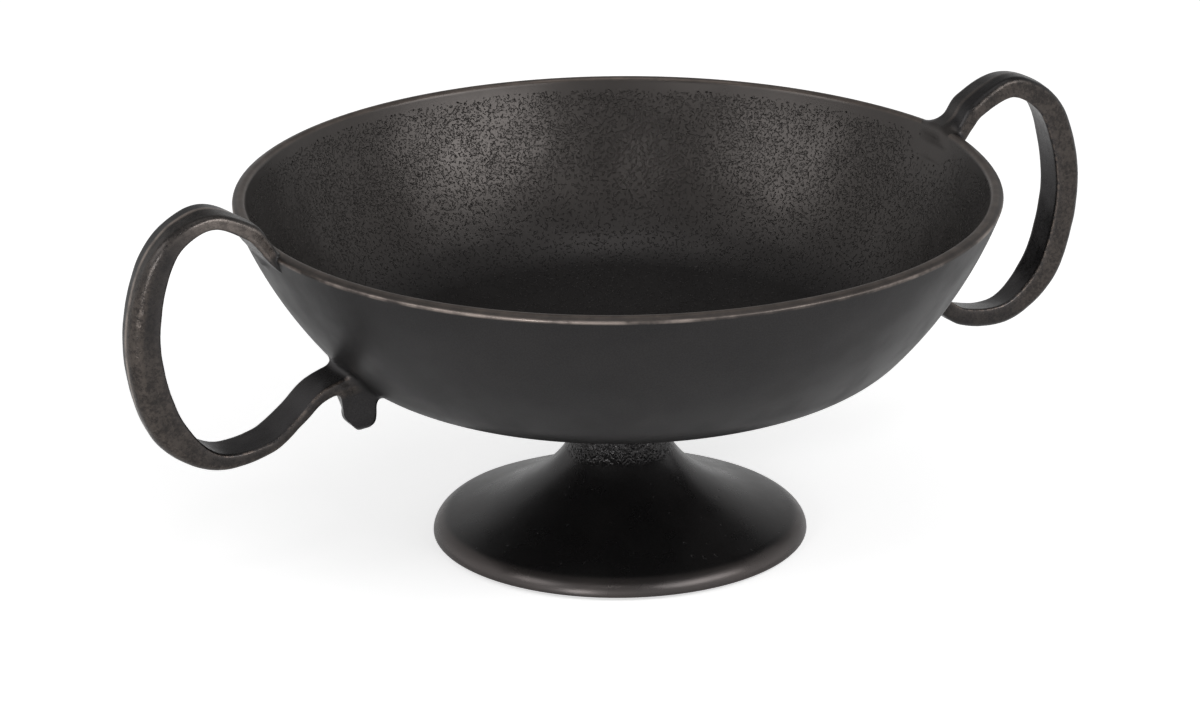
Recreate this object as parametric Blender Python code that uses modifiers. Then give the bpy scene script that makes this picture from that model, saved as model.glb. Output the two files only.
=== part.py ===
"""Footed cast-metal bowl with two welded strap handles.

Metres, +Z up. The bowl's axis is Z, the handles lie along X, and the felt pads stand on z = 0.
"""
import math

import bmesh
import bpy
from mathutils import Vector

MM = 0.001

# Fits and facets
CLEARANCE = 0.3 * MM
TURN_STEPS = 60
FOOT_STEPS = 48
ARC_STEPS = 5
FLARE_STEPS = 9
EDGE_STEPS = 6
SPAN_STEPS = 4
CORNER_STEPS = 3

# Felt pads under the foot
PAD_COUNT = 4
PAD_RADIUS = 4.0 * MM
PAD_THICKNESS = 1.0 * MM
PAD_INSET = 9.4 * MM

# Foot: a hollow trumpet with a rounded edge; the flare runs from the edge to the neck
FOOT_BASE = PAD_THICKNESS + CLEARANCE
FOOT_RADIUS = 73.9 * MM
FOOT_LAND = 14.5 * MM
FOOT_WALL = 4.5 * MM
EDGE_CHAMFER = 0.7 * MM
EDGE_DEPTH = 16.0 * MM
EDGE_HEIGHT = 9.4 * MM
FLARE_SLOPE = math.radians(18.7)
FLARE_TOP_RADIUS = 20.1 * MM
FLARE_TOP_HEIGHT = 37.6 * MM
FLARE_TOP_SLOPE = math.radians(61.3)
FLARE_PULL = 0.351
NECK_RADIUS = 19.2 * MM
NECK_BEND = 4.0 * MM
NECK_FILLET = 6.0 * MM
WEB_THICKNESS = 7.0 * MM

# Bowl: three tangent arcs from the rim to the axis, each named by its radius or its slope; the rim is the
# outer edge of the lip, which is cut square to the wall
RIM_RADIUS = 150.0 * MM
RIM_HEIGHT = 141.6 * MM
RIM_SLOPE = math.radians(69.7)
WALL_ARC = 169.1 * MM
SHOULDER_SLOPE = math.radians(47.1)
SHOULDER_ARC = 40.0 * MM
DISH_SLOPE = math.radians(12.0)
BOWL_WALL = 5.2 * MM
RIM_CHAMFER = 0.8 * MM

# Boss under the bowl, and the screw that clamps the foot to it
BOSS_RADIUS = 11.0 * MM
BOSS_LENGTH = 12.0 * MM
SCREW_RADIUS = 4.0 * MM
SCREW_HEAD_FLATS = 13.0 * MM
SCREW_HEAD_HEIGHT = 5.3 * MM
THREAD_DEPTH = 12.0 * MM
TIP_ROOM = 1.0 * MM
FLAT_WASHER_RADIUS = 8.0 * MM
FLAT_WASHER_THICKNESS = 1.6 * MM
SPRING_WASHER_RADIUS = 7.0 * MM
SPRING_WASHER_THICKNESS = 2.0 * MM
SPRING_WASHER_SLIT = 1.6 * MM

# Handle strap: stations as (out from the rim, up from the rim, thickness, width)
STRAP_WIDTH = 16.5 * MM
STRAP_CORNER = 2.0 * MM
STRAP_RIM_STATIONS = (
    (-3.6, -6.4, 4.8, 16.6),
    (1.3, 1.9, 5.2, 16.7),
    (3.2, 4.5, 5.4, 16.7),
    (8.8, 11.0, 6.2, 16.8),
    (24.7, 17.7, 6.8, 16.8),
    (39.4, 11.2, 8.4, 16.8),
    (47.6, -1.7, 10.4, 15.0),
    (52.3, -25.1, 11.0, 12.5),
    (49.8, -47.0, 11.6, 11.5),
    (41.8, -66.1, 10.7, 11.7),
    (24.8, -78.0, 7.8, 13.4),
)
# The strap's lower stations as (out from the seat, up from the seat, thickness, width)
SEAT_DROP = 57.5 * MM
STRAP_SEAT_STATIONS = (
    (39.5, -18.6, 6.2, 15.9),
    (27.1, -10.0, 5.0, 15.9),
    (16.5, -1.3, 5.7, 16.0),
    (-1.0, 2.8, 6.6, 16.1),
)
# The lug below the seat: stations as (out from the seat, up from the seat, thickness, width)
LUG_CORNER = 1.9 * MM
LUG_STATIONS = (
    (-0.6, 5.8, 12.0, 15.0),
    (0.0, -8.6, 11.4, 14.6),
    (0.1, -14.2, 10.2, 12.6),
    (-0.4, -18.6, 4.8, 8.0),
)

# Weld beads
UPPER_BEAD_RADIUS = 2.6 * MM
UPPER_BEAD_INSET = 3.2 * MM
UPPER_BEAD_DROP = 4.5 * MM
LOWER_BEAD_RADIUS = 2.3 * MM
LOWER_BEAD_TOP = 6.2 * MM
LOWER_BEAD_BOTTOM = 4.2 * MM


# Scene helpers

def clear_scene():
    for item in list(bpy.data.objects):
        bpy.data.objects.remove(item, do_unlink=True)


def new_collection(name):
    collection = bpy.data.collections.new(name)
    bpy.context.scene.collection.children.link(collection)
    return collection


def metal(name, colour, roughness, metallic=1.0):
    material = bpy.data.materials.new(name)
    material.use_nodes = True
    shader = material.node_tree.nodes["Principled BSDF"]
    shader.inputs["Base Color"].default_value = (*colour, 1.0)
    shader.inputs["Roughness"].default_value = roughness
    shader.inputs["Metallic"].default_value = metallic
    return material


def place(mesh, name, collection, material=None, turn=0.0):
    item = bpy.data.objects.new(name, mesh)
    item.rotation_euler.z = turn
    collection.objects.link(item)
    if material:
        mesh.materials.append(material)
        mesh.shade_smooth()
        mesh.set_sharp_from_angle(angle=math.radians(35))
    else:
        item.hide_render = True
        item.display_type = "WIRE"
    return item


def cut(item, cutter, operation="DIFFERENCE"):
    boolean = item.modifiers.new(operation.title() + "_" + cutter.name, "BOOLEAN")
    boolean.operation = operation
    boolean.solver = "EXACT"
    boolean.object = cutter


def turn_profile(item, steps=TURN_STEPS):
    screw = item.modifiers.new("Turn", "SCREW")
    screw.axis = "Z"
    screw.angle = math.tau
    screw.steps = steps
    screw.render_steps = steps
    screw.use_merge_vertices = True
    screw.merge_threshold = 0.01 * MM
    screw.use_smooth_shade = True


def profile_mesh(name, points, closed):
    """Points (radius, height) that run down the outer side."""
    edges = [(i, i + 1) for i in range(len(points) - 1)]
    if closed:
        edges.append((len(points) - 1, 0))
    mesh = bpy.data.meshes.new(name)
    mesh.from_pydata([(r, 0.0, z) for r, z in points], edges, [])
    return mesh


# The bowl's wall

def bowl_arcs(grow):
    """The three arcs of the surface that lies `grow` outside the bowl's outer wall.

    Each arc is (centre radius, centre height, arc radius, upper slope, lower slope).
    """
    wall_r = RIM_RADIUS - WALL_ARC * math.sin(RIM_SLOPE)
    wall_z = RIM_HEIGHT + WALL_ARC * math.cos(RIM_SLOPE)
    reach = WALL_ARC - SHOULDER_ARC
    shoulder_r = wall_r + reach * math.sin(SHOULDER_SLOPE)
    shoulder_z = wall_z - reach * math.cos(SHOULDER_SLOPE)
    dish_arc = SHOULDER_ARC + shoulder_r / math.sin(DISH_SLOPE)
    dish_z = shoulder_z + (dish_arc - SHOULDER_ARC) * math.cos(DISH_SLOPE)
    return (
        (wall_r, wall_z, WALL_ARC + grow, RIM_SLOPE, SHOULDER_SLOPE),
        (shoulder_r, shoulder_z, SHOULDER_ARC + grow, SHOULDER_SLOPE, DISH_SLOPE),
        (0.0, dish_z, dish_arc + grow, DISH_SLOPE, 0.0),
    )


def wall_points(grow):
    """Points (radius, height) of that surface, from the lip down to the axis."""
    points = []
    for centre_r, centre_z, arc, upper, lower in bowl_arcs(grow):
        for step in range(ARC_STEPS + 1):
            if points and step == 0:
                continue
            slope = upper + (lower - upper) * step / ARC_STEPS
            points.append((centre_r + arc * math.sin(slope), centre_z - arc * math.cos(slope)))
    points[-1] = (0.0, points[-1][1])
    return points


def wall_radius(height):
    """Outer radius of the bowl at a height."""
    points = wall_points(0.0)
    for (r1, z1), (r2, z2) in zip(points, points[1:]):
        if z2 <= height <= z1:
            return r2 + (r1 - r2) * (height - z2) / (z1 - z2)
    return RIM_RADIUS


def dish_height(radius):
    """Height of the bowl's underside inside the shoulder."""
    _, centre_z, arc, _, _ = bowl_arcs(0.0)[2]
    return centre_z - math.sqrt(arc * arc - radius * radius)


UNDERSIDE = dish_height(0.0)
BOSS_END = UNDERSIDE - BOSS_LENGTH
SCREW_TIP = BOSS_END + THREAD_DEPTH
THREAD_BORE = SCREW_RADIUS + CLEARANCE


def bowl_profile():
    inner = wall_points(-BOWL_WALL)
    outer = wall_points(0.0)
    up = RIM_CHAMFER * Vector((math.cos(RIM_SLOPE), math.sin(RIM_SLOPE)))
    out = RIM_CHAMFER * Vector((math.sin(RIM_SLOPE), -math.cos(RIM_SLOPE)))
    lip_in, lip_out = Vector(inner[0]), Vector(outer[0])
    points = list(reversed(inner[1:]))
    points += [tuple(p) for p in (lip_in - up, lip_in + out, lip_out - out, lip_out - up)]
    points += [(r, z) for r, z in outer[1:] if r > BOSS_RADIUS + CLEARANCE]
    points += [(BOSS_RADIUS, dish_height(BOSS_RADIUS)), (BOSS_RADIUS, BOSS_END)]
    points += [(THREAD_BORE, BOSS_END), (THREAD_BORE, SCREW_TIP + TIP_ROOM)]
    points.append((0.0, SCREW_TIP + TIP_ROOM))
    return points


def make_bowl(collection):
    mesh = profile_mesh("bowl", bowl_profile(), closed=False)
    item = place(mesh, "bowl", collection, metal("bowl_bronze_black", (0.045, 0.043, 0.042), 0.42))
    turn_profile(item)
    return item


def make_envelope(collection):
    """The bowl grown by the clearance and filled to its rim, which cuts what sits against it."""
    lip_r, lip_z = wall_points(-BOWL_WALL)[0]
    points = [(0.0, lip_z + CLEARANCE), (lip_r, lip_z + CLEARANCE), (RIM_RADIUS + CLEARANCE, RIM_HEIGHT + CLEARANCE)]
    points += wall_points(CLEARANCE)
    item = place(profile_mesh("bowl_envelope", points, closed=False), "bowl_envelope", collection)
    turn_profile(item)
    return item


# The foot and what clamps it

COUNTERBORE_RADIUS = BOSS_RADIUS + CLEARANCE
COUNTERBORE_FLOOR = BOSS_END - CLEARANCE
WEB_BOTTOM = COUNTERBORE_FLOOR - WEB_THICKNESS
SCREW_HOLE = SCREW_RADIUS + CLEARANCE


def edge_points():
    """The rounded edge from the floor side up to where the flare starts."""
    last = math.atan(EDGE_HEIGHT / EDGE_DEPTH / math.tan(FLARE_SLOPE))
    points = [(FOOT_RADIUS - EDGE_CHAMFER, FOOT_BASE)]
    for step in range(EDGE_STEPS + 1):
        turn = last * step / EDGE_STEPS
        points.append((FOOT_RADIUS - EDGE_DEPTH * (1.0 - math.cos(turn)),
                       FOOT_BASE + EDGE_CHAMFER + (EDGE_HEIGHT - EDGE_CHAMFER) * math.sin(turn)))
    return points


def flare_points(inside):
    """The flare from the edge to the neck; `inside` moves it towards the cavity."""
    start = Vector(edge_points()[-1])
    end = Vector((FLARE_TOP_RADIUS, FOOT_BASE + FLARE_TOP_HEIGHT))
    pull = FLARE_PULL * (end - start).length
    leave = start + pull * Vector((-math.cos(FLARE_SLOPE), math.sin(FLARE_SLOPE)))
    arrive = end - pull * Vector((-math.cos(FLARE_TOP_SLOPE), math.sin(FLARE_TOP_SLOPE)))
    points = []
    for step in range(FLARE_STEPS + 1):
        t = step / FLARE_STEPS
        at = start * (1 - t)**3 + leave * 3 * t * (1 - t)**2 + arrive * 3 * t**2 * (1 - t) + end * t**3
        run = ((leave - start) * (1 - t)**2 + (arrive - leave) * 2 * t * (1 - t) + (end - arrive) * t**2).normalized()
        points.append((at.x - inside * run.y, at.y + inside * run.x))
    return points


def foot_profile():
    seat = NECK_RADIUS + NECK_FILLET
    points = [(r, dish_height(r) - CLEARANCE) for r in (COUNTERBORE_RADIUS, NECK_RADIUS, seat)]
    fillet_z = points[-1][1] - NECK_FILLET
    for step in range(1, 5):
        turn = math.radians(90.0 * step / 4)
        points.append((seat - NECK_FILLET * math.sin(turn), fillet_z + NECK_FILLET * math.cos(turn)))
    flare = flare_points(0.0)
    points.append((NECK_RADIUS, flare[-1][1] + NECK_BEND))
    points += reversed(flare[1:])
    points += reversed(edge_points())
    land_in = FOOT_RADIUS - FOOT_LAND
    points.append((land_in, FOOT_BASE))
    cavity = flare_points(FOOT_WALL)
    points += [(r, z) for r, z in cavity if r < land_in - FOOT_WALL / 4 and z < WEB_BOTTOM]
    points += [(NECK_RADIUS - FOOT_WALL, WEB_BOTTOM), (SCREW_HOLE, WEB_BOTTOM)]
    points += [(SCREW_HOLE, COUNTERBORE_FLOOR), (COUNTERBORE_RADIUS, COUNTERBORE_FLOOR)]
    return points


def make_foot(collection):
    mesh = profile_mesh("foot", foot_profile(), closed=True)
    item = place(mesh, "foot", collection, metal("foot_bronze_black", (0.035, 0.033, 0.032), 0.32))
    turn_profile(item, FOOT_STEPS)
    return item


def washer_profile(radius, thickness, top):
    return [(SCREW_HOLE, top), (radius, top), (radius, top - thickness), (SCREW_HOLE, top - thickness)]


def make_fastening(collection, cutters):
    steel = metal("zinc_plated_steel", (0.56, 0.56, 0.54), 0.35)
    flat_top = WEB_BOTTOM - CLEARANCE
    flat = profile_mesh("flat_washer", washer_profile(FLAT_WASHER_RADIUS, FLAT_WASHER_THICKNESS, flat_top),
                        closed=True)
    turn_profile(place(flat, "flat_washer", collection, steel), 36)

    spring_top = flat_top - FLAT_WASHER_THICKNESS - CLEARANCE
    spring = profile_mesh("spring_washer",
                          washer_profile(SPRING_WASHER_RADIUS, SPRING_WASHER_THICKNESS, spring_top),
                          closed=True)
    spring_item = place(spring, "spring_washer", collection, metal("spring_steel", (0.3, 0.3, 0.3), 0.4))
    turn_profile(spring_item, 36)
    bpy.ops.mesh.primitive_cube_add(size=1.0)
    slit = bpy.context.object
    slit.name = "spring_washer_slit"
    slit.scale = (2 * SPRING_WASHER_RADIUS, SPRING_WASHER_SLIT, 3 * SPRING_WASHER_THICKNESS)
    slit.location = (SPRING_WASHER_RADIUS, 0.0, spring_top)
    slit.rotation_euler.x = math.radians(20)
    hide_cutter(slit, cutters)
    cut(spring_item, slit)

    head_top = spring_top - SPRING_WASHER_THICKNESS - CLEARANCE
    mesh = bpy.data.meshes.new("foot_screw")
    shape = bmesh.new()
    bmesh.ops.create_cone(shape, cap_ends=True, segments=6, depth=SCREW_HEAD_HEIGHT,
                          radius1=SCREW_HEAD_FLATS / 2 / math.cos(math.pi / 6),
                          radius2=SCREW_HEAD_FLATS / 2 / math.cos(math.pi / 6))
    bmesh.ops.translate(shape, verts=shape.verts, vec=(0, 0, head_top - SCREW_HEAD_HEIGHT / 2))
    shape.to_mesh(mesh)
    shape.free()
    screw = place(mesh, "foot_screw", collection, steel)
    bpy.ops.mesh.primitive_cylinder_add(vertices=24, radius=SCREW_RADIUS,
                                        depth=SCREW_TIP - head_top + SCREW_HEAD_HEIGHT / 2)
    shank = bpy.context.object
    shank.name = "foot_screw_shank"
    shank.location.z = (SCREW_TIP + head_top - SCREW_HEAD_HEIGHT / 2) / 2
    hide_cutter(shank, cutters)
    cut(screw, shank, "UNION")


def hide_cutter(item, cutters):
    for collection in list(item.users_collection):
        collection.objects.unlink(item)
    cutters.objects.link(item)
    item.hide_render = True
    item.display_type = "WIRE"


def make_pads(collection):
    felt = metal("felt_black", (0.03, 0.03, 0.03), 0.95, metallic=0.0)
    ring = FOOT_RADIUS - PAD_INSET
    for index in range(PAD_COUNT):
        turn = math.tau * (index + 0.5) / PAD_COUNT
        bpy.ops.mesh.primitive_cylinder_add(vertices=24, radius=PAD_RADIUS, depth=PAD_THICKNESS)
        pad = bpy.context.object
        pad.name = "felt_pad_%d" % (index + 1)
        pad.location = (ring * math.cos(turn), ring * math.sin(turn), PAD_THICKNESS / 2)
        pad.data.materials.append(felt)
        for owner in list(pad.users_collection):
            owner.objects.unlink(pad)
        collection.objects.link(pad)


# The handles

SEAT_HEIGHT = RIM_HEIGHT - SEAT_DROP
SEAT_RADIUS = wall_radius(SEAT_HEIGHT)


def stations_from(radius, height, stations):
    return [Vector((radius + x * MM, height + z * MM, t * MM, w * MM)) for x, z, t, w in stations]


def strap_stations():
    return (stations_from(RIM_RADIUS, RIM_HEIGHT, STRAP_RIM_STATIONS)
            + stations_from(SEAT_RADIUS, SEAT_HEIGHT, STRAP_SEAT_STATIONS))


def lug_stations():
    return stations_from(SEAT_RADIUS, SEAT_HEIGHT, LUG_STATIONS)


def smooth_stations(stations):
    """Points on a smooth curve through the stations, spaced by chord length."""
    knots = [0.0]
    for a, b in zip(stations, stations[1:]):
        knots.append(knots[-1] + (b - a).xy.length)
    last = len(stations) - 1
    slopes = []
    for i in range(len(stations)):
        low, high = max(i - 1, 0), min(i + 1, last)
        slopes.append((stations[high] - stations[low]) / (knots[high] - knots[low]))
    samples = []
    for i in range(last):
        span = knots[i + 1] - knots[i]
        for step in range(SPAN_STEPS):
            t = step / SPAN_STEPS
            samples.append(stations[i] * (2 * t**3 - 3 * t**2 + 1)
                           + slopes[i] * span * (t**3 - 2 * t**2 + t)
                           + stations[i + 1] * (3 * t**2 - 2 * t**3)
                           + slopes[i + 1] * span * (t**3 - t**2))
    samples.append(stations[last])
    return samples


def section(half_width, half_thickness, corner):
    """Rounded rectangle as points (across, through)."""
    corner = min(corner, 0.9 * half_width, 0.9 * half_thickness)
    points = []
    for side, face, start in ((1, 1, 0), (-1, 1, 90), (-1, -1, 180), (1, -1, 270)):
        for step in range(CORNER_STEPS + 1):
            turn = math.radians(start + 90.0 * step / CORNER_STEPS)
            points.append((side * (half_width - corner) + corner * math.cos(turn),
                           face * (half_thickness - corner) + corner * math.sin(turn)))
    return points


def loft(name, stations, corner, grow=0.0):
    """A strap through the stations, whose sections stand square to its path in the XZ plane."""
    samples = smooth_stations(stations)
    shape = bmesh.new()
    rings = []
    for i, sample in enumerate(samples):
        ahead = samples[min(i + 1, len(samples) - 1)] - samples[max(i - 1, 0)]
        heading = ahead.xy.normalized()
        x, z, thickness, width = sample
        ring = []
        for across, through in section(width / 2 + grow, thickness / 2 + grow, corner):
            ring.append(shape.verts.new((x - heading.y * through, across, z + heading.x * through)))
        rings.append(ring)
    for ring, following in zip(rings, rings[1:]):
        for k in range(len(ring)):
            m = (k + 1) % len(ring)
            shape.faces.new((ring[k], ring[m], following[m], following[k]))
    shape.faces.new(rings[0])
    shape.faces.new(rings[-1])
    bmesh.ops.recalc_face_normals(shape, faces=shape.faces)
    mesh = bpy.data.meshes.new(name)
    shape.to_mesh(mesh)
    shape.free()
    return mesh


def make_handle(side, turn, collection, cutters, envelope):
    bronze = metal("handle_bronze_" + side, (0.075, 0.066, 0.06), 0.4)
    handle = place(loft("handle_" + side, strap_stations(), STRAP_CORNER), "handle_" + side,
                   collection, bronze, turn)
    lug = place(loft("lug_" + side, lug_stations(), LUG_CORNER), "lug_" + side, cutters, turn=turn)
    cut(handle, lug, "UNION")
    cut(handle, envelope)


# The welds

def on_wall(height, across):
    radius = wall_radius(height)
    return Vector((math.sqrt(radius * radius - across * across), across, height))


def upper_bead_path(hand):
    """Over the lip beside the strap and down the outer wall."""
    across = hand * STRAP_WIDTH / 2
    along = math.sqrt(RIM_RADIUS * RIM_RADIUS - across * across)
    lip = Vector((along - UPPER_BEAD_INSET, across, RIM_HEIGHT + UPPER_BEAD_INSET / math.tan(RIM_SLOPE)))
    edge = Vector((along, across, RIM_HEIGHT))
    return [lip, edge, on_wall(RIM_HEIGHT - UPPER_BEAD_DROP, across)]


def lower_bead_path():
    """Up one side of the lug, across above the strap and down the other side."""
    half = STRAP_WIDTH / 2
    heights = (SEAT_HEIGHT - LOWER_BEAD_BOTTOM, SEAT_HEIGHT, SEAT_HEIGHT + LOWER_BEAD_TOP)
    near = [on_wall(height, -half) for height in heights]
    far = [on_wall(height, half) for height in reversed(heights)]
    return near + far


def bead(points, radius, scratch):
    """A round bead along the points, as a closed mesh."""
    curve = bpy.data.curves.new("bead", "CURVE")
    curve.dimensions = "3D"
    curve.bevel_depth = radius
    curve.bevel_resolution = 2
    curve.use_fill_caps = True
    spline = curve.splines.new("POLY")
    spline.points.add(len(points) - 1)
    for knot, point in zip(spline.points, points):
        knot.co = (*point, 1.0)
    holder = bpy.data.objects.new("bead", curve)
    scratch.objects.link(holder)
    ready = holder.evaluated_get(bpy.context.evaluated_depsgraph_get())
    mesh = bpy.data.meshes.new_from_object(ready)
    bpy.data.objects.remove(holder)
    shape = bmesh.new()
    shape.from_mesh(mesh)
    bmesh.ops.remove_doubles(shape, verts=shape.verts, dist=0.001 * MM)
    bmesh.ops.recalc_face_normals(shape, faces=shape.faces)
    shape.to_mesh(mesh)
    shape.free()
    return mesh


def make_welds(side, turn, collection, cutters, envelope):
    filler = metal("filler_metal_" + side, (0.05, 0.047, 0.045), 0.5)
    strap = place(loft("strap_room_" + side, strap_stations(), STRAP_CORNER, CLEARANCE),
                  "strap_room_" + side, cutters, turn=turn)
    lug = place(loft("lug_room_" + side, lug_stations(), LUG_CORNER, CLEARANCE),
                "lug_room_" + side, cutters, turn=turn)
    for name, hand in (("front", -1), ("back", 1)):
        hand = hand if turn == 0.0 else -hand
        mesh = bead(upper_bead_path(hand), UPPER_BEAD_RADIUS, cutters)
        weld = place(mesh, "upper_weld_%s_%s" % (side, name), collection, filler, turn)
        cut(weld, envelope)
        cut(weld, strap)
    mesh = bead(lower_bead_path(), LOWER_BEAD_RADIUS, cutters)
    weld = place(mesh, "lower_weld_" + side, collection, filler, turn)
    for cutter in (envelope, strap, lug):
        cut(weld, cutter)


def main():
    clear_scene()
    parts = new_collection("footed_bowl")
    cutters = new_collection("cutters")
    make_bowl(parts)
    envelope = make_envelope(cutters)
    make_foot(parts)
    make_fastening(parts, cutters)
    make_pads(parts)
    for side, turn in (("right", 0.0), ("left", math.pi)):
        make_handle(side, turn, parts, cutters, envelope)
        make_welds(side, turn, parts, cutters, envelope)


main()
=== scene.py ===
"""Looks of the footed cast bowl with two welded strap handles.

Shapes are worked out in millimetres in the CAD frame, and meshes are written in metres.
"""
import itertools
import math

import bpy
import numpy as np
from mathutils import Matrix, Vector


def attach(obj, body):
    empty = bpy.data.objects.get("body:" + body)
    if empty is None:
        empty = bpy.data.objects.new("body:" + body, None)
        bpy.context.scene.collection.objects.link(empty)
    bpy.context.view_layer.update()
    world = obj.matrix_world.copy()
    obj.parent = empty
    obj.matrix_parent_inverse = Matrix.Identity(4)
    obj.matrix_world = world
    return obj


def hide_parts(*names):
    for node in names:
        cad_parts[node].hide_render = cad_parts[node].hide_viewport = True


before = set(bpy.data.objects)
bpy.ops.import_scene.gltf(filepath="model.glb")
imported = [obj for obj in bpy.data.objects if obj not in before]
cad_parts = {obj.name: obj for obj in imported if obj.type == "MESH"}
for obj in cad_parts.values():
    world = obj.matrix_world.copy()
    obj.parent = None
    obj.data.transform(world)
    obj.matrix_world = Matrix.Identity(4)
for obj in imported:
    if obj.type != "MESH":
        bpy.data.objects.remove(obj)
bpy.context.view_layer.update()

MM = 0.001
SHARP_ANGLE = 50.0

# Bowl
RIM_RADIUS = 150.0
RIM_HEIGHT = 141.6
RIM_SLOPE = math.radians(69.7)
WALL_ARC = 169.1
SHOULDER_SLOPE = math.radians(47.1)
SHOULDER_ARC = 40.0
DISH_SLOPE = math.radians(12.0)
BOWL_WALL = 5.2
LIP_OUTER_SOFTNESS = 0.7
LIP_INNER_SOFTNESS = 1.8
LIP_CROWN = 0.7
LIP_SPACING = 0.28
LIP_PASSES = 8
INNER_START = 3.5
OUTER_START = 2.6
WALL_ROWS = 44
SHOULDER_ROWS = 22
DISH_ROWS = 14
BOWL_STEPS = 320
BOSS_RADIUS = 11.0
BOSS_LENGTH = 12.0
BORE_RADIUS = 4.3
BORE_DEPTH = 13.0
BOSS_CHAMFER = 0.6
BOSS_MARGIN = 0.3
# Room left free at the handle roots, as (to each side, down from the rim)
WAVE_FREE = (40.0, 40.0)
PIT_FREE = (32.0, 24.0)
WAVES_ABOVE = 66.0

# Foot
FOOT_BASE = 1.3
FOOT_RADIUS = 73.9
FOOT_LAND = 14.5
FOOT_WALL = 4.5
FLOOR_EDGE = 0.7
EDGE_DEPTH = 12.0
EDGE_HEIGHT = 8.6
FLARE_SLOPE = math.radians(18.2)
FLARE_TOP = (20.1, 38.9)
FLARE_TOP_SLOPE = math.radians(61.3)
FLARE_PULL = 0.351
NECK_RADIUS = 19.2
NECK_BEND = 4.0
NECK_BEND_PULL = 1.5
NECK_FILLET = 6.0
SEAT_MIDDLE = 16.0
WEB_THICKNESS = 7.0
CLEARANCE = 0.3
FLARE_ROWS = 56
HOLLOW_ROWS = 48
EDGE_ROWS = 28
NOSE_START = 1.5
NOSE_FULL = 4.0
NECK_HEIGHTS = (34.5, 41.0)
FOOT_STEPS = 256

# Handle strap, as (out from the rim, up from the rim, thickness, width,
# lean of the inner face, lean of the outer face)
STRAP_RIM_STATIONS = (
    (-2.6, -5.8, 0.8, 16.5, 0.0, 0.0),
    (-0.9, -1.8, 4.2, 16.6, 0.0, 0.0),
    (1.5, 1.9, 5.2, 16.7, 0.0, 0.01),
    (3.2, 4.5, 5.4, 16.7, 0.01, 0.02),
    (8.77, 10.95, 6.19, 16.83, 0.022, 0.045),
    (24.7, 17.67, 6.75, 16.82, 0.109, -0.075),
    (39.39, 11.22, 8.37, 16.8, 0.183, 0.043),
    (47.55, -1.72, 10.36, 14.97, 0.107, 0.053),
    (52.26, -25.07, 10.99, 12.53, -0.077, -0.029),
    (49.83, -46.97, 11.56, 11.49, -0.177, 0.017),
    (41.7, -65.95, 11.2, 11.67, -0.164, 0.057),
    (24.82, -78.04, 7.78, 13.39, 0.106, -0.005),
)
# The same from the lower seat
SEAT_DROP = 57.5
STRAP_SEAT_STATIONS = (
    (39.51, -18.62, 6.16, 15.87, 0.092, -0.086),
    (27.11, -10.03, 4.96, 15.93, 0.101, -0.036),
    (16.45, -1.33, 5.73, 16.0, 0.069, -0.011),
    (1.57, 2.82, 6.8, 16.07, 0.079, 0.007),
    (-5.0, 3.3, 6.8, 16.1, 0.08, 0.007),
)
LUG_STATIONS = (
    (1.0, 1.0, 15.0, 15.2, 0.0, 0.1),
    (0.0, -8.0, 12.8, 15.1, 0.0, 0.3),
    (-0.4, -11.0, 11.6, 15.0, 0.0, 0.36),
    (-0.9, -14.0, 10.4, 14.8, 0.0, 0.16),
    (-1.3, -16.8, 8.6, 13.4, 0.0, 0.04),
    (-1.5, -19.2, 4.6, 9.0, 0.0, 0.0),
)
# Corner radii as (outer face at +Y, outer face at -Y, inner face)
RIGHT_CORNERS = (2.8, 2.8, 1.2)
LEFT_CORNERS = (4.8, 2.8, 1.2)
LUG_CORNERS = (1.0, 1.6, 1.8)
RIDGE_PLACE = -0.6
RIDGE_RISE = 0.55
DENTS_HEIGHT = 124.0
LUG_BLEND = 3.5
SEAT_BLEND = 4.5
END_SOFTNESS = 1.0
# Fillets at the rim as (at +Y, at -Y, inside the bowl, where across the strap they change)
RIGHT_BLENDS = (8.0, 2.4, 7.0, -6.0)
LEFT_BLENDS = (1.0, 6.5, 2.0, -5.0)
BLEND_RUN = 4.0
BLEND_INSIDE = (-1.0, -4.0)
BLEND_UNDER_LIP = (-3.0, 4.0)
BLEND_HEIGHTS = (105.0, 125.0)
# The rim is drawn up a little on both sides of the right-hand root
RISE = 2.0
RISE_ANGLE = math.radians(14.0)
RISE_HEIGHTS = (96.0, 118.0)
ROOT_SPLIT = 118.0
SINK = 0.03
ROOT_DEPTH = 0.8
ROOT_MARGIN = 2.0
# The net that the handle's field is sampled on
NET_LOW = (98.0, -22.0, 56.0)
NET_HIGH = (212.0, 22.0, 169.0)
NET_STEP = 0.6
NET_PULL = 0.3
NET_PASSES = 2

# Unevenness of the castings, as (height, size of a lump, seed)
BOWL_WAVES = ((0.16, 17.0, 3), (0.08, 7.0, 4))
FOOT_WAVES = (0.3, 30.0, 8)
STRAP_LUMPS = ((0.16, 11.0, 0), (0.1, 5.0, 1))
DENT_LUMPS = (0.3, 2.6, 2)
RIGHT_SEED = 21
LEFT_SEED = 31
LATTICE = 24


# Small field functions

def smoothstep(low, high, value):
    t = np.clip((value - low) / (high - low), 0.0, 1.0)
    return t * t * (3.0 - 2.0 * t)


def smooth_min(a, b, size):
    h = np.maximum(size - np.abs(a - b), 0.0) / size
    return np.minimum(a, b) - h * h * size / 4.0


def smooth_max(a, b, size):
    return -smooth_min(-a, -b, size)


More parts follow.
